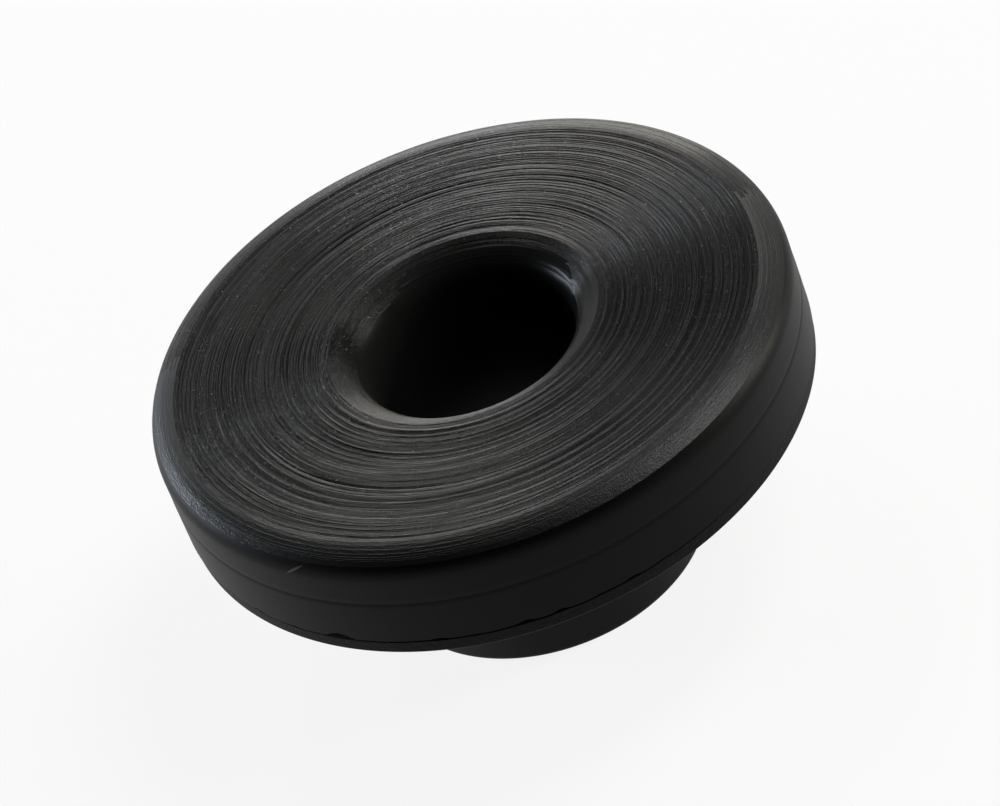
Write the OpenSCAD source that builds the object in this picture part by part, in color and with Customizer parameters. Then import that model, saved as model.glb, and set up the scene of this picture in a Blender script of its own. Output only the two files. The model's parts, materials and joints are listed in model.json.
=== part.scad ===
// Headlamp bushing: a black moulded rubber collar with a thick round flange, a
// plain boss below it and a bolt hole right through.
// The flange's top was faced off on a lathe, together with the mouth of the hole and
// a bevel on the shoulder.
// It stands on the end of its boss, with the hole's axis along Z and Z = 0 at that end.
// All lengths are in millimetres, and all angles in degrees.

/* [Flange] */
// Outside diameter of the flange
flange_d = 25.4; // [20:0.1:40]
// Thickness of the flange, from its seat to the turned face
flange_t = 4.6; // [3.6:0.05:10]
// Moulded round between the top of the flange and its side
shoulder_r = 1.0; // [0.3:0.05:1.8]
// How far in from the flange's side the turned bevel on that round starts
bevel_reach = 1.13; // [0.4:0.01:2]
// Slope of the bevel where it leaves the turned face
bevel_slope = 10; // [5:1:30]
// Radius of the bevel, which bulges a little
bevel_r = 2.3; // [1.5:0.1:8]

/* [Boss] */
// Outside diameter of the boss that sits in the bracket's hole
boss_d = 13.1; // [11:0.05:18]
// Length of the boss, from its free end to the flange's seat
boss_l = 6.95; // [2:0.05:20]
// Fillet where the boss runs into the flange's seat
boss_root_r = 0.3; // [0.1:0.05:1.5]
// Round on the outer edge of the boss's free end
boss_edge_r = 0.25; // [0.1:0.05:1]

/* [Bolt hole] */
// Diameter of the hole, which lets an 8 mm bolt through
bore_d = 8.25; // [5:0.05:10.5]
// Turned round where the face rolls over into the hole
mouth_r = 1.05; // [0.4:0.05:1.5]
// Slope of the lead-in below that round, measured from the turned face
lead_angle = 65; // [50:1:75]
// How much steeper the round ends than the lead-in that it meets
throat_turn = 5; // [2:1:12]
// Depth below the turned face at which the straight wall of the hole starts
lead_depth = 1.2; // [0.8:0.05:3]

/* [Moulding marks] */
// Depth of the mould's parting line below the turned face
parting_drop = 2.1; // [1.4:0.05:3.2]
// Width of the parting line on the flange's side
parting_w = 0.1; // [0.05:0.01:0.4]
// How far the parting line is sunk into the flange's side
parting_sink = 0.02; // [0.01:0.01:0.2]
// Height of the band above the seat where the flash was trimmed off
trim_h = 0.65; // [0.2:0.05:1.2]
// Step in from the flange's side at the top of the trimmed band
trim_step = 0.03; // [0.02:0.01:0.2]
// Further inward slope of the trimmed band down to the seat
trim_slope = 0.03; // [0.02:0.01:0.4]

/* [Hidden] */
flange_r = flange_d / 2;
boss_r = boss_d / 2;
bore_r = bore_d / 2;
seat_z = boss_l;
top_z = seat_z + flange_t;
lead_z = top_z - lead_depth;
// The turned round sweeps this far from the face to the throat, where the lead-in starts
mouth_sweep = lead_angle + throat_turn;
throat_z = top_z - mouth_r * (1 - cos(mouth_sweep));
throat_r = bore_r + (throat_z - lead_z) / tan(lead_angle);
// Cutting shapes run this far past the faces that they cut
cut_over = 0.05;
// Number of sides of round shapes in a preview
preview_sides = 180;
rubber_black = [0.07, 0.07, 0.075];

// What lies between a square corner and the quarter round inside it: waste at
// an outer corner, a fillet at an inner one. The round's centre is at the origin.
module corner_piece(radius) {
    difference() {
        square(radius + cut_over);
        circle(radius, $fn = preview_sides);
    }
}

// Half section of the flange: side, shoulder with its turned bevel, parting line
// and trimmed lower edge.
module flange_section() {
    bevel_x = flange_r - bevel_reach - bevel_r * sin(bevel_slope);
    bevel_z = top_z - bevel_r * cos(bevel_slope);
    parting_z = top_z - parting_drop;
    trim_low_r = flange_r - trim_step - trim_slope;
    difference() {
        translate([0, seat_z])
            square([flange_r, flange_t]);
        translate([flange_r - shoulder_r, top_z - shoulder_r])
            corner_piece(shoulder_r);
        translate([bevel_x, bevel_z])
            corner_piece(bevel_r);
        polygon([
            [flange_r - parting_sink, parting_z],
            [flange_r, parting_z - parting_w / 2],
            [flange_r + cut_over, parting_z - parting_w / 2],
            [flange_r + cut_over, parting_z + parting_w / 2],
            [flange_r, parting_z + parting_w / 2]
        ]);
        polygon([
            [flange_r - trim_step, seat_z + trim_h],
            [trim_low_r, seat_z],
            [trim_low_r, seat_z - cut_over],
            [flange_r + cut_over, seat_z - cut_over],
            [flange_r + cut_over, seat_z + trim_h]
        ]);
    }
}

// Half section of the boss: rounded at its free end, filleted into the seat.
module boss_section() {
    difference() {
        square([boss_r, boss_l + cut_over]);
        translate([boss_r - boss_edge_r, boss_edge_r])
            mirror([0, 1])
                corner_piece(boss_edge_r);
    }
    translate([boss_r + boss_root_r, seat_z - boss_root_r])
        mirror([1, 0])
            corner_piece(boss_root_r);
}

// Half section of what the bolt hole takes away: its straight wall, the lead-in
// above that, and the turned round that the lead-in runs into.
module hole_section() {
    round_z = top_z - mouth_r;
    round_x = throat_r + mouth_r * sin(mouth_sweep);
    // The lead-in's line is drawn on past the throat, into the round
    run_on = mouth_r * sin(throat_turn);
    translate([0, -cut_over])
        square([bore_r, top_z + 2 * cut_over]);
    difference() {
        polygon([
            [0, lead_z],
            [bore_r, lead_z],
            [throat_r + run_on * cos(lead_angle), throat_z + run_on * sin(lead_angle)],
            [round_x, round_z],
            [round_x, top_z + cut_over],
            [0, top_z + cut_over]
        ]);
        translate([round_x, round_z])
            circle(mouth_r, $fn = preview_sides);
    }
}

// The whole bushing, one moulding: its half section turned about the hole's axis.
module bushing() {
    color(rubber_black)
        rotate_extrude($fn = preview_sides)
            difference() {
                union() {
                    flange_section();
                    boss_section();
                }
                hole_section();
            }
}

bushing();
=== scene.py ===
# Headlamp bushing: a black moulded rubber collar with a lathe-turned top, in a plain white studio.
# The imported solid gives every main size; this script gives it its turned, moulded and trimmed surfaces.
import json
import math
import random

import bmesh
import bpy
from mathutils import Matrix, Vector, noise


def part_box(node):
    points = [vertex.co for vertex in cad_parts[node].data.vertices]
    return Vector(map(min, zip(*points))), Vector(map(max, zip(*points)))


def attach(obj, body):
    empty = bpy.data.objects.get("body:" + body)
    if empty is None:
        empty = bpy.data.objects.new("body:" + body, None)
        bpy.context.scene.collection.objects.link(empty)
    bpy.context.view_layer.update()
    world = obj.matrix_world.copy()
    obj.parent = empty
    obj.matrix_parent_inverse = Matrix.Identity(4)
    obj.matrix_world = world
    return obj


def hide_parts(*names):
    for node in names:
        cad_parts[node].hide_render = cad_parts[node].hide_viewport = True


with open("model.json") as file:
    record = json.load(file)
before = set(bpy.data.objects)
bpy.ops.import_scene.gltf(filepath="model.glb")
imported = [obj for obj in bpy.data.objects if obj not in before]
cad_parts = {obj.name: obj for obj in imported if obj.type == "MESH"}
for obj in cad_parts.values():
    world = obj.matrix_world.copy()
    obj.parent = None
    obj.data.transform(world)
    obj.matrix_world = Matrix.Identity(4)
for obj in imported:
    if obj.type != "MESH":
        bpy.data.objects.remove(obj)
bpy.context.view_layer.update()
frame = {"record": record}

MM = 0.001
UP = Vector((0, 0, 1))
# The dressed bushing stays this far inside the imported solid's box
BOX_SLACK = 0.002 * MM


def level_way(azimuth):
    """Level direction at an azimuth, where 0 is the right and a quarter turn is the far side."""
    return Vector((math.cos(azimuth), math.sin(azimuth), 0))


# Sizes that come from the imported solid, in metres
mounts = {mount["name"]: mount for mount in frame["record"]["mounts"]}
node_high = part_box("bushing")[1]
TOP_Z = node_high.z - BOX_SLACK
FLANGE_R = node_high.x - BOX_SLACK
SEAT_Z = mounts["seat"]["pos_m"][2]
BORE_R = mounts["bore"]["dims"]["r_mm"] * MM
LEAD_Z = mounts["bore"]["dims"]["length_mm"] * MM
BOSS_R = mounts["boss"]["dims"]["r_mm"] * MM

# Sizes of the edges, as in the solid's section
SHOULDER_R = 1.0 * MM
MOUTH_R = 1.05 * MM
LEAD_ANGLE = math.radians(65)
MOUTH_SWEEP = math.radians(70)
BOSS_ROOT_R = 0.3 * MM
BOSS_EDGE_R = 0.25 * MM
BEVEL_REACH = 1.13 * MM
BEVEL_SLOPE = math.radians(10)
BEVEL_R = 2.3 * MM
PARTING_DROP = 2.1 * MM
PARTING_Z = TOP_Z - PARTING_DROP
TRIM_HIGH = 0.65 * MM
TRIM_Z = SEAT_Z + TRIM_HIGH
TRIM_STEP = 0.03 * MM
TRIM_SLOPE = 0.03 * MM

# Edges that are finer than in the solid's section: a fainter parting line, the cut above the trimmed
# band, and the round of the flange's lower rim
PARTING_W = 0.06 * MM
PARTING_SINK = 0.004 * MM
TRIM_CUT = 0.1 * MM
TRIM_GAP = 0.1 * MM
RIM_R = 0.06 * MM

# The turned round of the hole's mouth, which starts at the throat and ends on the flat face
THROAT_Z = TOP_Z - MOUTH_R * (1 - math.cos(MOUTH_SWEEP))
THROAT_R = BORE_R + (THROAT_Z - LEAD_Z) / math.tan(LEAD_ANGLE)
ROUND_X = THROAT_R + MOUTH_R * math.sin(MOUTH_SWEEP)
# The lathe left a crisp edge there: its own cut leans this much at the face and at the throat
EDGE_LEAN = math.radians(23)
THROAT_LEAN = MOUTH_SWEEP - EDGE_LEAN
CUT_R = (ROUND_X - THROAT_R) / (math.sin(THROAT_LEAN) - math.sin(EDGE_LEAN))
CUT_X = THROAT_R + CUT_R * math.sin(THROAT_LEAN)
CUT_Z = THROAT_Z - CUT_R * math.cos(THROAT_LEAN)
CUT_RUN = CUT_R * (THROAT_LEAN - EDGE_LEAN)

# The lathe also took the top of the shoulder: a bulging bevel from the face down to the moulded round.
# The two rounds meet at these angles from outward towards up.
FACE_R = FLANGE_R - BEVEL_REACH
BEVEL_X = FACE_R - BEVEL_R * math.sin(BEVEL_SLOPE)
BEVEL_Z = TOP_Z - BEVEL_R * math.cos(BEVEL_SLOPE)
SHOULDER_X = FLANGE_R - SHOULDER_R
SHOULDER_Z = TOP_Z - SHOULDER_R
APART = math.hypot(SHOULDER_X - BEVEL_X, SHOULDER_Z - BEVEL_Z)
ASIDE = math.atan2(SHOULDER_Z - BEVEL_Z, SHOULDER_X - BEVEL_X)
BEVEL_MEETS = ASIDE - math.acos((BEVEL_R ** 2 + APART ** 2 - SHOULDER_R ** 2) / (2 * BEVEL_R * APART))
SHOULDER_MEETS = math.atan2(BEVEL_Z + BEVEL_R * math.sin(BEVEL_MEETS) - SHOULDER_Z,
                            BEVEL_X + BEVEL_R * math.cos(BEVEL_MEETS) - SHOULDER_X)
BEVEL_RUN = BEVEL_R * (math.pi / 2 - BEVEL_SLOPE - BEVEL_MEETS)

# Lathe marks: how far apart the tool's traces lie, how each falls outwards as a shallow ramp,
# and the radii where the tool bit deeper
TRACE = 0.13 * MM
TRACE_VARIES = 0.5
RAMP_SHARE = 0.86
RAMP_DEEP = 0.019 * MM
RAMP_VARIES = 0.45
# The ramps are evener and shallower towards the side that is torn less
RAMP_CALM = 0.2
UNEVEN_FROM = 0.7
UNEVEN_LEAST = 0.1
# In the mouth the ramps are cut to this share of their depth on the face
MOUTH_SHARE = 0.8
BITE_DEPTH = 0.035 * MM
BITE_HALF = 0.028 * MM
BITE_LONG = 5 * MM
# Traces keep this many of a bite's half widths clear of it, and a bite fades in and out along its ring
BITE_CLEAR = 1.5
BITE_MEAN = 0.5
BITE_SWING = 1.5
BITES = [radius * MM for radius in (
    5.45, 5.75, 6.06, 6.33, 6.53, 6.97, 7.19, 7.48, 7.80, 8.07,
    8.42, 8.73, 8.93, 9.19, 9.60, 9.94, 10.32, 10.74, 10.96, 11.30)]

# Tears in the turned rubber: the long, middling and short ones, each with its length round the axis
# and its depth, and how far apart they lie
TEARS = ((80 * MM, 0.022 * MM), (9 * MM, 0.026 * MM), (2 * MM, 0.018 * MM))
TEAR_WIDE = 0.05 * MM
TEAR_MEAN = 0.5
MIDDLE_R = (FACE_R + ROUND_X) / 2
# The bevel took a lighter cut on all but its far side, torn only by this share of the face's depth.
# The light cut ends raggedly, in runs of this length.
BEVEL_TORN = 0.25
LIGHT_SIDE = level_way(math.radians(262))
LIGHT_FROM = -0.25
LIGHT_RAGGED = 0.1
SKIP_LONG = 4 * MM
# It is rubbed keenest on the near side, and duller towards the ends of the light cut
KEEN_FROM = 0.15
KEEN_FULL = 0.45
KEEN_ROUGH = 0.36
DULL_ROUGH = 0.5

# The face ran out of true on the lathe, so that it's torn deeper towards one side
TORN_MEAN = 0.62
TORN_SWING = 0.43
TORN_SIDE = level_way(math.radians(125))

# The lathe ran a little off the hole's axis: it turned the mouth down to the throat on most sides,
# but stopped short of it towards one side, where the moulded lead-in is left
SHORT_LEAN = math.radians(33)
SHORT_SIDE = level_way(math.radians(62))
SHORT_FROM = 0.5
SHORT_FADE = 0.25

# The mould's upper half was a little smaller, so the wall steps out at the parting line
HALF_STEP = 0.009 * MM

# The underside isn't quite square to the turned face: the flange is thicker towards the near left
SEAT_TILT = 0.08 * MM
TILT_SIDE = level_way(math.radians(210))

# The trimmed edge: how far it wanders up and down, and over what height it carries the wall with it
WANDER = 0.05 * MM
WANDER_LONG = 0.9 * MM
TRIM_REACH = 0.45 * MM
# The cut between the edge and the trimmed band shuts towards the far right
SHUT_SIDE = level_way(math.radians(30))
SHUT_FAST = 2
SHUT_FROM = 0.7
# Points between these shares of the cut's height, measured down from the trimmed edge, lie in the cut
LIP_SHARE = 0.25
CUT_SHARE = 0.75
# Chips in the edge, by azimuth and half width in degrees and by height, and their depth for each height
CHIP_SINK = 0.6
CHIPS = (
    (210.5, 1.4, 0.10 * MM), (219, 1.0, 0.06 * MM), (228.5, 2.9, 0.2 * MM), (247, 1.6, 0.06 * MM),
    (262, 1.8, 0.10 * MM), (268, 1.2, 0.07 * MM), (281, 1.5, 0.06 * MM))

# A brown fibre sticks to the moulded shoulder: the azimuth of each end, with its angle on the round
# from outward towards up, and half its thickness and reach into the rubber
FIBRE_ENDS = ((math.radians(222.75), math.radians(1)), (math.radians(226.9), math.radians(32)))
FIBRE_HALF = 0.055 * MM
FIBRE_REACH = 0.3 * MM
FIBRE_SOFT = 0.6

# The bushing is turned one sector at a time: sectors round the axis, and facets in each
SECTORS = 8
SECTOR_FACETS = 54
CREASE = math.radians(28)
# Points nearer than this are one, and the random numbers start from this seed
MERGE = 0.0005 * MM
SEED = 7
# Steps of the section along its rounds, the wall above and below the parting line, and the trimmed band
SHOULDER_STEPS = 6
ROUND_STEPS = 4
UPPER_WALL_STEPS = 4
LOWER_WALL_STEPS = 10
BAND_STEPS = 6

# Order of the finishes on the bushing's mesh
TURNED, SCUFFED, MOULDED, CORED, TRIMMED = range(5)
MOULDED_ROUGH = 0.46
CORED_ROUGH = 0.3


def linear(hex_colour):
    """Turns an sRGB hex colour into the linear colour that a shader takes."""
    toe, slope, lift, power = 0.04045, 12.92, 0.055, 2.4
    shades = [int(hex_colour[at:at + 2], 16) / 255 for at in (1, 3, 5)]
    bright = [s / slope if s <= toe else ((s + lift) / (1 + lift)) ** power for s in shades]
    return (*bright, 1)


def add_node(tree, kind, settings, inputs):
    """Adds a shader node with its settings, and links or sets its inputs."""
    node = tree.nodes.new(kind)
    for name, value in settings.items():
        setattr(node, name, value)
    for socket, value in inputs.items():
        if isinstance(value, bpy.types.NodeSocket):
            tree.links.new(value, node.inputs[socket])
        else:
            node.inputs[socket].default_value = value
    return node


def new_material(name, roughness, specular):
    """Starts a material with one surface shader, and returns it with its node tree and shader."""
    material = bpy.data.materials.new(name)
    material.use_nodes = True
    tree = material.node_tree
    shader = tree.nodes["Principled BSDF"]
    shader.inputs["Roughness"].default_value = roughness
    shader.inputs["Specular IOR Level"].default_value = specular
    return material, tree, shader


def add_noise(tree, place, size, detail, roughness=0.5):
    """Adds a noise at coordinates, with grains of a size."""
    return add_node(tree, "ShaderNodeTexNoise", {},
                    {"Vector": place, "Scale": 1 / size, "Detail": detail, "Roughness": roughness})


def add_colour_mix(tree, share, one, other):
    """Adds a blend of two colours, and returns its output. A mix node's colour sockets go by number."""
    first, second, blend = 6, 7, 2
    node = add_node(tree, "ShaderNodeMix", {"data_type": "RGBA"},
                    {"Factor": share, first: one, second: other})
    return node.outputs[blend]


def add_bump(tree, shader, depth, height):
    """Adds a fine relief of a depth to a shader."""
    bump = add_node(tree, "ShaderNodeBump", {}, {"Strength": 1, "Distance": depth, "Height": height})
    tree.links.new(bump.outputs[0], shader.inputs["Normal"])


def add_round_coordinates(tree, along, across):
    """Adds coordinates for marks that run round the axis: their length and width set the scale."""
    place = add_node(tree, "ShaderNodeTexCoord", {}, {})
    level = add_node(tree, "ShaderNodeVectorMath", {"operation": "MULTIPLY"},
                     {0: place.outputs["Object"], 1: (1, 1, 0)})
    radius = add_node(tree, "ShaderNodeVectorMath", {"operation": "LENGTH"}, {0: level.outputs[0]})
    heading = add_node(tree, "ShaderNodeVectorMath", {"operation": "NORMALIZE"}, {0: level.outputs[0]})
    height = add_node(tree, "ShaderNodeSeparateXYZ", {}, {0: place.outputs["Object"]})
    run = add_node(tree, "ShaderNodeMath", {"operation": "ADD"},
                   {0: radius.outputs["Value"], 1: height.outputs["Z"]})
    rows = add_node(tree, "ShaderNodeMath", {"operation": "MULTIPLY"}, {0: run.outputs[0], 1: 1 / across})
    lift = add_node(tree, "ShaderNodeCombineXYZ", {}, {"Z": rows.outputs[0]})
    around = MIDDLE_R / along
    return add_node(tree, "ShaderNodeVectorMath", {"operation": "MULTIPLY_ADD"},
                    {0: heading.outputs[0], 1: (around, around, around), 2: lift.outputs[0]})


def add_dust(tree, place, size, least, full):
    """Adds a mask of scattered specks, where a fine noise rises from its least to its full value."""
    fine = add_noise(tree, place, size, detail=0)
    return add_node(tree, "ShaderNodeMapRange", {},
                    {"Value": fine.outputs["Fac"], "From Min": least, "From Max": full})


def add_towards(tree, side):
    """Adds how far a place lies towards a side: 1 on that side, and -1 on the opposite one."""
    place = add_node(tree, "ShaderNodeTexCoord", {}, {})
    level = add_node(tree, "ShaderNodeVectorMath", {"operation": "MULTIPLY"},
                     {0: place.outputs["Object"], 1: (1, 1, 0)})
    heading = add_node(tree, "ShaderNodeVectorMath", {"operation": "NORMALIZE"}, {0: level.outputs[0]})
    return add_node(tree, "ShaderNodeVectorMath", {"operation": "DOT_PRODUCT"},
                    {0: heading.outputs[0], 1: side})


def turned_rubber():
    """Hard black rubber faced off on a lathe: torn into short streaks round the axis, so it looks
    grey and matt, with light and dark rings and some pale dust left in them."""
    pull, quarter_turn = 0.85, 0.25
    streak_long, streak_wide = 0.7 * MM, 0.045 * MM
    ring_long, ring_wide, ring_weight = 6 * MM, 0.16 * MM, 0.5
    shade_low, shade_high = 0.55, 0.95
    dust_size, dust_least, dust_full = 0.07 * MM, 0.8, 0.88
    fleck_low, fleck_high, fleck_weight = 0.58, 0.75, 0.2
    material, tree, shader = new_material("turned_black_rubber", roughness=0.27, specular=0.15)
    across = add_node(tree, "ShaderNodeTangent", {"direction_type": "RADIAL", "axis": "Z"}, {})
    tree.links.new(across.outputs[0], shader.inputs["Tangent"])
    shader.inputs["Anisotropic"].default_value = pull
    shader.inputs["Anisotropic Rotation"].default_value = quarter_turn
    place = add_node(tree, "ShaderNodeTexCoord", {}, {}).outputs["Object"]
    streaks = add_round_coordinates(tree, streak_long, streak_wide)
    rings = add_round_coordinates(tree, ring_long, ring_wide)
    grain = add_noise(tree, place, size=0.045 * MM, detail=2)
    torn = add_noise(tree, streaks.outputs[0], size=1, detail=3, roughness=0.6)
    ring = add_noise(tree, rings.outputs[0], size=1, detail=2)
    both = add_node(tree, "ShaderNodeMath", {"operation": "MULTIPLY_ADD"},
                    {0: ring.outputs["Fac"], 1: ring_weight, 2: grain.outputs["Fac"]})
    shade = add_node(tree, "ShaderNodeMapRange", {},
                     {"Value": both.outputs[0], "From Min": shade_low, "From Max": shade_high})
    rubber = add_colour_mix(tree, shade.outputs[0], linear("#040404"), linear("#151514"))
    dust = add_dust(tree, place, dust_size, dust_least, dust_full)
    colour = add_colour_mix(tree, dust.outputs[0], rubber, linear("#7c7a76"))
    tree.links.new(colour, shader.inputs["Base Color"])
    flecks = add_node(tree, "ShaderNodeMapRange", {},
                      {"Value": grain.outputs["Fac"], "From Min": fleck_low, "From Max": fleck_high})
    rough = add_node(tree, "ShaderNodeMath", {"operation": "MULTIPLY_ADD"},
                     {0: flecks.outputs[0], 1: fleck_weight, 2: torn.outputs["Fac"]})
    towards = add_towards(tree, TORN_SIDE)
    deeper = add_node(tree, "ShaderNodeMath", {"operation": "MULTIPLY_ADD"},
                      {0: towards.outputs["Value"], 1: TORN_SWING, 2: TORN_MEAN})
    height = add_node(tree, "ShaderNodeMath", {"operation": "MULTIPLY"},
                      {0: rough.outputs[0], 1: deeper.outputs[0]})
    add_bump(tree, shader, depth=0.03 * MM, height=height.outputs[0])
    return material


def scuffed_rubber():
    """Black rubber rubbed down on the lathe: finely scratched, so it stays dark but sparkles a little."""
    scratch_long, scratch_wide = 0.25 * MM, 0.05 * MM
    material, tree, shader = new_material("scuffed_black_rubber", KEEN_ROUGH, specular=0.32)
    place = add_node(tree, "ShaderNodeTexCoord", {}, {}).outputs["Object"]
    towards = add_towards(tree, LIGHT_SIDE)
    dull = add_node(tree, "ShaderNodeMapRange", {},
                    {"Value": towards.outputs["Value"], "From Min": KEEN_FROM, "From Max": KEEN_FULL,
                     "To Min": DULL_ROUGH, "To Max": KEEN_ROUGH})
    tree.links.new(dull.outputs[0], shader.inputs["Roughness"])
    scratches = add_round_coordinates(tree, scratch_long, scratch_wide)
    scratch = add_noise(tree, scratches.outputs[0], size=1, detail=2)
    grain = add_noise(tree, place, size=0.07 * MM, detail=2)
    both = add_node(tree, "ShaderNodeMath", {"operation": "ADD"},
                    {0: grain.outputs["Fac"], 1: scratch.outputs["Fac"]})
    colour = add_colour_mix(tree, scratch.outputs["Fac"], linear("#070707"), linear("#0d0d0e"))
    tree.links.new(colour, shader.inputs["Base Color"])
    add_bump(tree, shader, depth=0.014 * MM, height=both.outputs[0])
    return material


def moulded_rubber(name, roughness, dark, pale):
    """Black rubber with the skin it took from the mould: near black, with a soft satin shine on the
    outside, and a keener one in the hole, where the core was polished."""
    # Used twice: the hole's copy is given paler colours than the outer skin. That is painted light,
    # standing in for the light that scarcely reaches into the bore.
    material, tree, shader = new_material(name, roughness, specular=0.09)
    place = add_node(tree, "ShaderNodeTexCoord", {}, {}).outputs["Object"]
    grain = add_noise(tree, place, size=0.12 * MM, detail=2)
    cloud = add_noise(tree, place, size=2.5 * MM, detail=3)
    colour = add_colour_mix(tree, cloud.outputs["Fac"], linear(dark), linear(pale))
    tree.links.new(colour, shader.inputs["Base Color"])
    add_bump(tree, shader, depth=0.003 * MM, height=grain.outputs["Fac"])
    return material


def shoulder_point(azimuth, lean):
    """Place on the moulded shoulder, from its azimuth and its angle on the round."""
    radius = SHOULDER_X - HALF_STEP + SHOULDER_R * math.cos(lean)
    height = SHOULDER_Z + SHOULDER_R * math.sin(lean)
    return Vector((radius * math.cos(azimuth), radius * math.sin(azimuth), height))


def stick_fibre(material):
    """Lays the brown fibre over the colour of a material, as a thin streak."""
    tree = material.node_tree
    shader = tree.nodes["Principled BSDF"]
    first, last = (shoulder_point(azimuth, lean) for azimuth, lean in FIBRE_ENDS)
    middle = (first + last) / 2
    along = (last - first).normalized()
    side = middle.cross(along).normalized()
    turn = Matrix((along, side, along.cross(side))).transposed().to_euler()
    place = add_node(tree, "ShaderNodeTexCoord", {}, {})
    local = add_node(tree, "ShaderNodeMapping", {"vector_type": "TEXTURE"},
                     {"Vector": place.outputs["Object"], "Location": middle, "Rotation": turn,
                      "Scale": ((last - first).length / 2, FIBRE_HALF, FIBRE_REACH)})
    away = add_node(tree, "ShaderNodeVectorMath", {"operation": "LENGTH"}, {0: local.outputs[0]})
    fibre = add_node(tree, "ShaderNodeMapRange", {},
                     {"Value": away.outputs["Value"], "From Min": 1, "From Max": FIBRE_SOFT})
    rubber = shader.inputs["Base Color"].links[0].from_socket
    colour = add_colour_mix(tree, fibre.outputs[0], rubber, linear("#5f5249"))
    tree.links.new(colour, shader.inputs["Base Color"])


def trimmed_rubber():
    """Black rubber where the flash was cut away: torn and rough, so it has almost no shine."""
    material, tree, shader = new_material("trimmed_black_rubber", roughness=0.55, specular=0.08)
    place = add_node(tree, "ShaderNodeTexCoord", {}, {}).outputs["Object"]
    tears = add_noise(tree, place, size=0.15 * MM, detail=4)
    colour = add_colour_mix(tree, tears.outputs["Fac"], linear("#040404"), linear("#0e0e0e"))
    tree.links.new(colour, shader.inputs["Base Color"])
    add_bump(tree, shader, depth=0.03 * MM, height=tears.outputs["Fac"])
    return material


def line(start, end, steps):
    """Points of the section on a straight line, both ends included."""
    return [Vector(start).lerp(Vector(end), step / steps) for step in range(steps + 1)]


def arc(centre, radius, first, last, steps):
    """Points of the section on an arc, at angles in degrees from outward towards up."""
    angles = [math.radians(first + (last - first) * step / steps) for step in range(steps + 1)]
    return [Vector((centre[0] + radius * math.cos(a), 0, centre[1] + radius * math.sin(a))) for a in angles]


def traces(end, chance):
    """Runs and depths of the lathe's traces, from 0 to the end at uneven steps."""
    marks = [(0, 0)]
    start = 0
    while start < end - 2 * TRACE:
        step = TRACE * chance.uniform(1 - TRACE_VARIES, 1 + TRACE_VARIES)
        deep = RAMP_DEEP * chance.uniform(1 - RAMP_VARIES, 1 + RAMP_VARIES)
        marks.append((start + RAMP_SHARE * step, deep))
        marks.append((start + step, 0))
        start += step
    return marks + [(end, 0)]


def mouth_section(chance):
    """Section of the turned cut at the hole's mouth, from the throat to the face."""
    marks = [(THROAT_LEAN - run / CUT_R, CUT_R - MOUTH_SHARE * deep)
             for run, deep in traces(CUT_RUN, chance)]
    return [Vector((CUT_X - r * math.sin(a), 0, CUT_Z + r * math.cos(a))) for a, r in marks]


def face_section(chance):
    """Section of the turned face, with a trace at each radius where the tool bit deeper."""
    marks = [(ROUND_X + run, deep) for run, deep in traces(FACE_R - ROUND_X, chance)]
    clear = [mark for mark in marks if all(abs(mark[0] - bite) > BITE_CLEAR * BITE_HALF for bite in BITES)]
    bitten = [(bite + side * BITE_HALF, 0) for bite in BITES for side in (-1, 0, 1)]
    return [Vector((radius, 0, TOP_Z - deep)) for radius, deep in sorted(clear + bitten)]


def bevel_section(chance):
    """Section of the turned bevel on the shoulder."""
    marks = [(BEVEL_SLOPE + run / BEVEL_R, BEVEL_R - BEVEL_TORN * deep)
             for run, deep in traces(BEVEL_RUN, chance)]
    return [Vector((BEVEL_X + r * math.sin(a), 0, BEVEL_Z + r * math.cos(a))) for a, r in marks]


def side_section():
    """Section of the flange's side, from the shoulder over the parting line to the trimmed band."""
    wide = PARTING_W / 2
    points = arc((SHOULDER_X, SHOULDER_Z), SHOULDER_R, math.degrees(SHOULDER_MEETS), 0, SHOULDER_STEPS)
    points += line((FLANGE_R, 0, points[-1].z), (FLANGE_R, 0, PARTING_Z + wide), UPPER_WALL_STEPS)[1:]
    points.append(Vector((FLANGE_R - PARTING_SINK, 0, PARTING_Z)))
    points += line((FLANGE_R, 0, PARTING_Z - wide), (FLANGE_R, 0, TRIM_Z), LOWER_WALL_STEPS)
    return points


def trim_section():
    """Section of the band where the flash was trimmed off."""
    cut = Vector((FLANGE_R - TRIM_CUT, 0, TRIM_Z - TRIM_GAP / 2))
    top = Vector((FLANGE_R - TRIM_STEP, 0, TRIM_Z - TRIM_GAP))
    low = Vector((top.x - TRIM_SLOPE, 0, SEAT_Z + RIM_R))
    return [Vector((FLANGE_R, 0, TRIM_Z)), cut] + line(top, low, BAND_STEPS)


def under_section():
    """Section of the seat, the boss and its end."""
    rim_r = FLANGE_R - TRIM_STEP - TRIM_SLOPE - RIM_R
    rim = arc((rim_r, SEAT_Z + RIM_R), RIM_R, 0, -90, ROUND_STEPS)
    root = arc((BOSS_R + BOSS_ROOT_R, SEAT_Z - BOSS_ROOT_R), BOSS_ROOT_R, 90, 180, ROUND_STEPS)
    edge = arc((BOSS_R - BOSS_EDGE_R, BOSS_EDGE_R), BOSS_EDGE_R, 0, -90, ROUND_STEPS)
    return rim + root + edge + [Vector((BORE_R, 0, 0))]


def hole_section():
    """Section of the hole's wall and its lead-in, up to the throat."""
    return [Vector((BORE_R, 0, 0)), Vector((BORE_R, 0, LEAD_Z)), Vector((THROAT_R, 0, THROAT_Z))]


def turn_section(bm, points, finish):
    """Turns a section about the axis, and gives the new faces their finish."""
    made = len(bm.faces)
    dots = [bm.verts.new(point) for point in points]
    wire = [bm.edges.new(pair) for pair in zip(dots, dots[1:])]
    bmesh.ops.spin(bm, geom=dots + wire, cent=(0, 0, 0), axis=UP, angle=math.tau / SECTORS,
                   steps=SECTOR_FACETS)
    bm.faces.ensure_lookup_table()
    for face in bm.faces[made:]:
        face.material_index = finish


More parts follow.
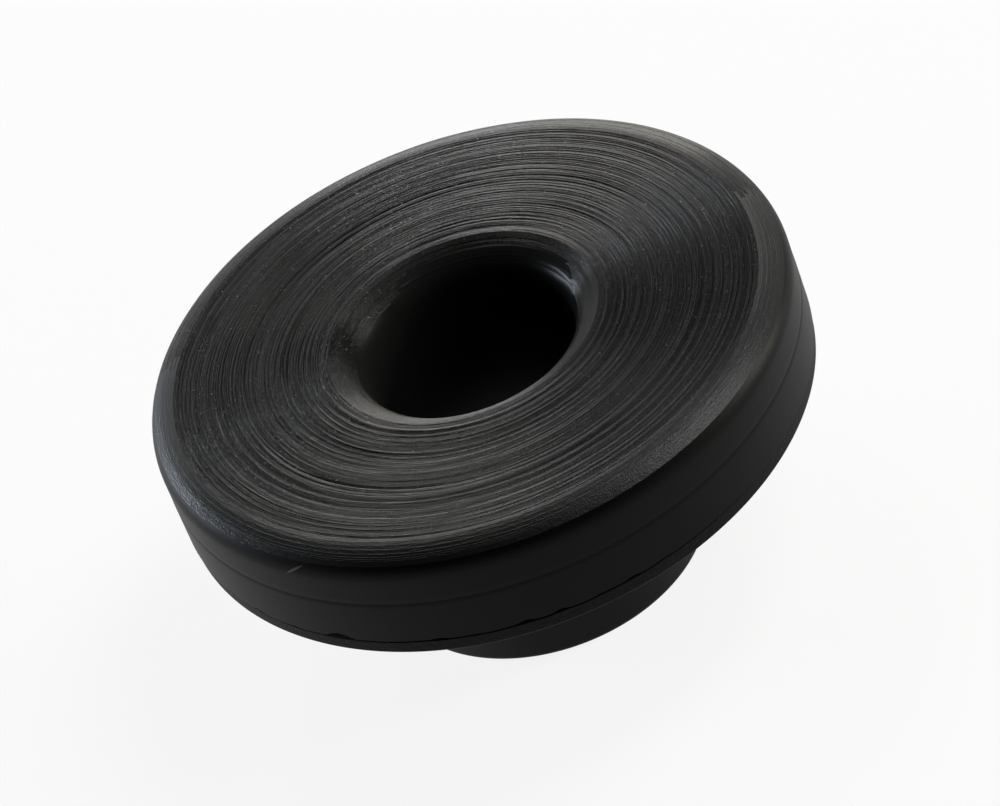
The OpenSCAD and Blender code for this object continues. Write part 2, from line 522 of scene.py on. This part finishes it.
def polar(place):
    """Heading and distance of a place from the axis."""
    level = Vector((place.x, place.y, 0))
    return level.normalized(), level.length


def crease_edges(bm):
    """Keeps the lathe's grooves and the part's edges crisp, and all other faces smooth."""
    tiny = 0.001 * MM
    for face in bm.faces:
        face.smooth = True
    for edge in bm.edges:
        one, other = (dot.co for dot in edge.verts)
        ring = abs(one.z - other.z) < tiny and abs(polar(one)[1] - polar(other)[1]) < tiny
        turned = any(face.material_index in (TURNED, SCUFFED) for face in edge.link_faces)
        edge.smooth = not (ring and turned) and edge.calc_face_angle(0) < CREASE


def scuff_bevel(bm):
    """Gives the bevel its scuffed finish on the side where the lathe took a lighter cut."""
    for face in bm.faces:
        heading, radius = polar(face.calc_center_median())
        if face.material_index == TURNED and radius > FACE_R:
            skip = noise.noise(heading * (FLANGE_R / SKIP_LONG) + UP * (radius / TEAR_WIDE))
            if heading.dot(LIGHT_SIDE) > LIGHT_FROM + LIGHT_RAGGED * skip:
                face.material_index = SCUFFED


def leave_lead_in(bm):
    """Gives the faces of the mouth that the lathe didn't reach their moulded finish."""
    for face in bm.faces:
        heading, radius = polar(face.calc_center_median())
        if face.material_index == TURNED and radius < ROUND_X:
            lean = math.asin((CUT_X - radius) / CUT_R)
            short = min(max((heading.dot(SHORT_SIDE) - SHORT_FROM) / SHORT_FADE, 0), 1)
            if lean > THROAT_LEAN - (THROAT_LEAN - SHORT_LEAN) * short:
                face.material_index = CORED


def tear_depth(heading, radius, drop):
    """Depth of the tears at a place on the turned faces, a drop below the flat one."""
    run = radius + (drop if radius > MIDDLE_R else -drop)
    depth = 0
    for long, deep in TEARS:
        tear = noise.noise(heading * (MIDDLE_R / long) + UP * (run / TEAR_WIDE))
        depth += deep * (TEAR_MEAN + tear) / 2
    depth = max(depth, 0)
    for bite in BITES:
        if abs(radius - bite) < BITE_HALF / 2:
            held = noise.noise(heading * (MIDDLE_R / BITE_LONG) + UP * (bite / MM))
            depth += BITE_DEPTH * min(max(BITE_MEAN + BITE_SWING * held, 0), 1)
    return depth * (TORN_MEAN + TORN_SWING * heading.dot(TORN_SIDE))


def tear_turned(bm):
    """Tears the turned faces: each trace sinks and rises along runs round the axis."""
    bm.normal_update()
    for dot in bm.verts:
        if any(face.material_index in (TURNED, SCUFFED) for face in dot.link_faces):
            heading, radius = polar(dot.co)
            share = BEVEL_TORN if all(face.material_index != TURNED for face in dot.link_faces) else 1
            drop = TOP_Z - dot.co.z
            if ROUND_X < radius < FACE_R and drop > 0:
                side = heading.dot(TORN_SIDE)
                uneven = min(max(side + UNEVEN_FROM, UNEVEN_LEAST), 1)
                mean = RAMP_DEEP * (1 + RAMP_CALM * min(side, 0))
                dot.co.z = TOP_Z - mean - (drop - RAMP_DEEP) * uneven
            dot.co -= dot.normal * share * tear_depth(heading, radius, drop)


def shrink_upper_half(bm):
    """Draws the flange in above the parting line, as the mould's smaller half left it."""
    for dot in bm.verts:
        if dot.co.z > PARTING_Z:
            heading, radius = polar(dot.co)
            share = max((radius - FACE_R) / BEVEL_REACH, 0)
            dot.co -= heading * HALF_STEP * share


def tilt_seat(bm):
    """Tips the flange's underside, more and more from the parting line down to the trimmed edge."""
    for dot in bm.verts:
        if polar(dot.co)[1] > BOSS_R and SEAT_Z - BOSS_ROOT_R < dot.co.z < PARTING_Z:
            share = min((PARTING_Z - dot.co.z) / (PARTING_Z - TRIM_Z), 1)
            dot.co.z -= SEAT_TILT * share * dot.co.dot(TILT_SIDE) / FLANGE_R


def chip_height(azimuth):
    """Height of the chips in the trimmed edge at an azimuth in degrees."""
    return sum(high * max(0, 1 - ((azimuth - middle) / half) ** 2) for middle, half, high in CHIPS)


def rag_trim(bm):
    """Makes the trimmed edge wander, chips it, and shuts the cut below it towards one side."""
    for dot in bm.verts:
        heading, radius = polar(dot.co)
        reach = 1 - abs(dot.co.z - TRIM_Z) / TRIM_REACH
        if radius > FACE_R and reach > 0:
            azimuth = math.degrees(math.atan2(heading.y, heading.x)) % 360
            chip = chip_height(azimuth)
            wander = WANDER * noise.noise(heading * (FLANGE_R / WANDER_LONG))
            if dot.co.z < TRIM_Z - TRIM_GAP * CUT_SHARE:
                chip = 0
            cut = dot.co.z < TRIM_Z - TRIM_GAP * LIP_SHARE
            if radius < FLANGE_R - TRIM_CUT / 2 and dot.co.z > TRIM_Z - TRIM_GAP * CUT_SHARE:
                shut = min(max(heading.dot(SHUT_SIDE) * SHUT_FAST + SHUT_FROM, 0), 1)
                dot.co += heading * (TRIM_CUT - TRIM_STEP) * shut
            dot.co.z += (wander + chip) * reach
            dot.co -= heading * chip * CHIP_SINK * cut


def make_bushing():
    """The whole moulding, turned from its stretches of section and then worn."""
    chance = random.Random(SEED)
    bm = bmesh.new()
    turn_section(bm, mouth_section(chance), TURNED)
    turn_section(bm, face_section(chance), TURNED)
    turn_section(bm, bevel_section(chance), TURNED)
    turn_section(bm, side_section(), MOULDED)
    turn_section(bm, trim_section(), TRIMMED)
    turn_section(bm, under_section(), MOULDED)
    turn_section(bm, hole_section(), CORED)
    bmesh.ops.spin(bm, geom=bm.verts[:] + bm.edges[:] + bm.faces[:], cent=(0, 0, 0), axis=UP,
                   angle=math.tau * (SECTORS - 1) / SECTORS, steps=SECTORS - 1, use_duplicate=True)
    bmesh.ops.remove_doubles(bm, verts=bm.verts, dist=MERGE)
    bmesh.ops.recalc_face_normals(bm, faces=bm.faces)
    leave_lead_in(bm)
    scuff_bevel(bm)
    crease_edges(bm)
    tear_turned(bm)
    shrink_upper_half(bm)
    rag_trim(bm)
    tilt_seat(bm)
    mesh = bpy.data.meshes.new("bushing_body")
    bm.to_mesh(mesh)
    bm.free()
    piece = bpy.data.objects.new("bushing_body", mesh)
    bpy.context.collection.objects.link(piece)
    moulded = moulded_rubber("moulded_black_rubber", MOULDED_ROUGH, "#030303", "#060606")
    stick_fibre(moulded)
    # Painted light: the hole's rubber is painted paler than the outer skin, standing in for light that
    # scarcely reaches into the bore.
    cored_painted_lighter = moulded_rubber("cored_rubber_painted_lighter", CORED_ROUGH, "#161616", "#1b1b1b")
    for material in (turned_rubber(), scuffed_rubber(), moulded, cored_painted_lighter, trimmed_rubber()):
        mesh.materials.append(material)
    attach(piece, "root")
    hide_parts("bushing")


# Studio: a white floor that runs up behind, soft lamps, and the photograph's camera
FLOOR_HALF = 0.6
# The floor lies this far below the boss's end, so that the two don't share a plane
FLOOR_DROP = 0.01 * MM
BACKDROP_HIGH = 0.35
LAMP_FAR = 0.4
SEEN_WHITE = 0.87
WORLD_GLOW = 0.012
VIEW_ELEVATION = math.radians(38.91)
VIEW_ROLL = math.radians(21.59)
VIEW_FAR = 180.5 * MM
VIEW_NEAR = 1 * MM
VIEW_LENS = 171.8
VIEW_SENSOR = 36
# How far the picture's middle lies to the right of the turned face's middle, and below it
PICTURE_RIGHT = 1.43 * MM
PICTURE_DOWN = 2.94 * MM


def white_paper():
    """Matt white paper: it takes the bushing's shadow, and looks near white to the eye and in shine."""
    material, tree, shader = new_material("matt_white_paper", roughness=1, specular=0)
    shader.inputs["Base Color"].default_value = linear("#f4f4f4")
    path = add_node(tree, "ShaderNodeLightPath", {}, {})
    seen = path.outputs["Is Camera Ray"]
    for ray in ("Is Glossy Ray", "Is Transmission Ray"):
        seen = add_node(tree, "ShaderNodeMath", {"operation": "MAXIMUM"},
                        {0: seen, 1: path.outputs[ray]}).outputs[0]
    share = add_node(tree, "ShaderNodeMath", {"operation": "MULTIPLY"}, {0: seen, 1: SEEN_WHITE})
    glow = add_node(tree, "ShaderNodeEmission", {}, {"Strength": 1})
    mixed = add_node(tree, "ShaderNodeMixShader", {},
                     {0: share.outputs[0], 1: shader.outputs[0], 2: glow.outputs[0]})
    tree.links.new(mixed.outputs[0], tree.nodes["Material Output"].inputs["Surface"])
    return material


def make_floor():
    """A large white floor that turns up into a backdrop on the far side."""
    bm = bmesh.new()
    bmesh.ops.create_grid(bm, x_segments=1, y_segments=1, size=FLOOR_HALF,
                          matrix=Matrix.Translation((0, 0, -FLOOR_DROP)))
    far = [edge for edge in bm.edges if all(dot.co.y > 0 for dot in edge.verts)]
    raised = bmesh.ops.extrude_edge_only(bm, edges=far)["geom"]
    for dot in raised:
        if isinstance(dot, bmesh.types.BMVert):
            dot.co.z = BACKDROP_HIGH
    mesh = bpy.data.meshes.new("floor")
    bm.to_mesh(mesh)
    bm.free()
    floor = bpy.data.objects.new("floor", mesh)
    bpy.context.collection.objects.link(floor)
    mesh.materials.append(white_paper())


def aim(thing, place, target):
    """Puts a lamp at a place and points it at a target."""
    thing.location = place
    thing.rotation_euler = (target - place).to_track_quat("-Z", "Y").to_euler()


def add_softbox(name, azimuth, elevation, wide, high, power, colour):
    """A flat lamp that faces the bushing, from an azimuth and elevation in degrees, with its sizes in
    metres and its power in watts."""
    lamp = bpy.data.lights.new(name, "AREA")
    lamp.shape = "RECTANGLE"
    lamp.size = wide
    lamp.size_y = high
    lamp.energy = power
    lamp.color = linear(colour)[:3]
    thing = bpy.data.objects.new(name, lamp)
    bpy.context.collection.objects.link(thing)
    flat = math.cos(math.radians(elevation))
    way = level_way(math.radians(azimuth)) * flat + UP * math.sin(math.radians(elevation))
    middle = Vector((0, 0, TOP_Z))
    aim(thing, middle + way * LAMP_FAR, middle)


def add_camera():
    """The camera of the photograph: a long lens from above, rolled to one side."""
    lens = bpy.data.cameras.new("camera")
    lens.lens = VIEW_LENS
    lens.sensor_width = VIEW_SENSOR
    lens.clip_start = VIEW_NEAR
    camera = bpy.data.objects.new("camera", lens)
    bpy.context.collection.objects.link(camera)
    tip = Matrix.Rotation(math.pi / 2 - VIEW_ELEVATION, 3, "X")
    turn = tip @ Matrix.Rotation(-VIEW_ROLL, 3, "Z")
    middle = Vector((0, 0, TOP_Z)) + turn @ Vector((PICTURE_RIGHT, -PICTURE_DOWN, 0))
    camera.location = middle + turn @ Vector((0, 0, VIEW_FAR))
    camera.rotation_euler = turn.to_euler()
    bpy.context.scene.camera = camera


make_bushing()
make_floor()
add_softbox("far_low_softbox", azimuth=75, elevation=7,
            wide=0.1, high=0.1, power=0.15, colour="#fffaea")
add_softbox("far_middle_softbox", azimuth=88, elevation=14,
            wide=0.07, high=0.12, power=0.28, colour="#ffffff")
add_softbox("far_high_softbox", azimuth=83, elevation=27,
            wide=0.1, high=0.1, power=0.16, colour="#ffffff")
add_softbox("far_softbox", azimuth=102, elevation=53,
            wide=0.1, high=0.1, power=0.22, colour="#fffff7")
add_softbox("left_window", azimuth=144, elevation=7,
            wide=0.21, high=0.1, power=1.23, colour="#e7f1ff")
add_softbox("low_right_softbox", azimuth=0, elevation=12,
            wide=0.1, high=0.16, power=1.3, colour="#fffff3")
add_softbox("right_softbox", azimuth=8, elevation=58,
            wide=0.16, high=0.16, power=0.68, colour="#ffffff")
add_camera()

world = bpy.data.worlds.new("studio")
bpy.context.scene.world = world
world.use_nodes = True
world.node_tree.nodes["Background"].inputs["Color"].default_value = linear("#ffffff")
world.node_tree.nodes["Background"].inputs["Strength"].default_value = WORLD_GLOW
bpy.context.scene.view_settings.view_transform = "Standard"
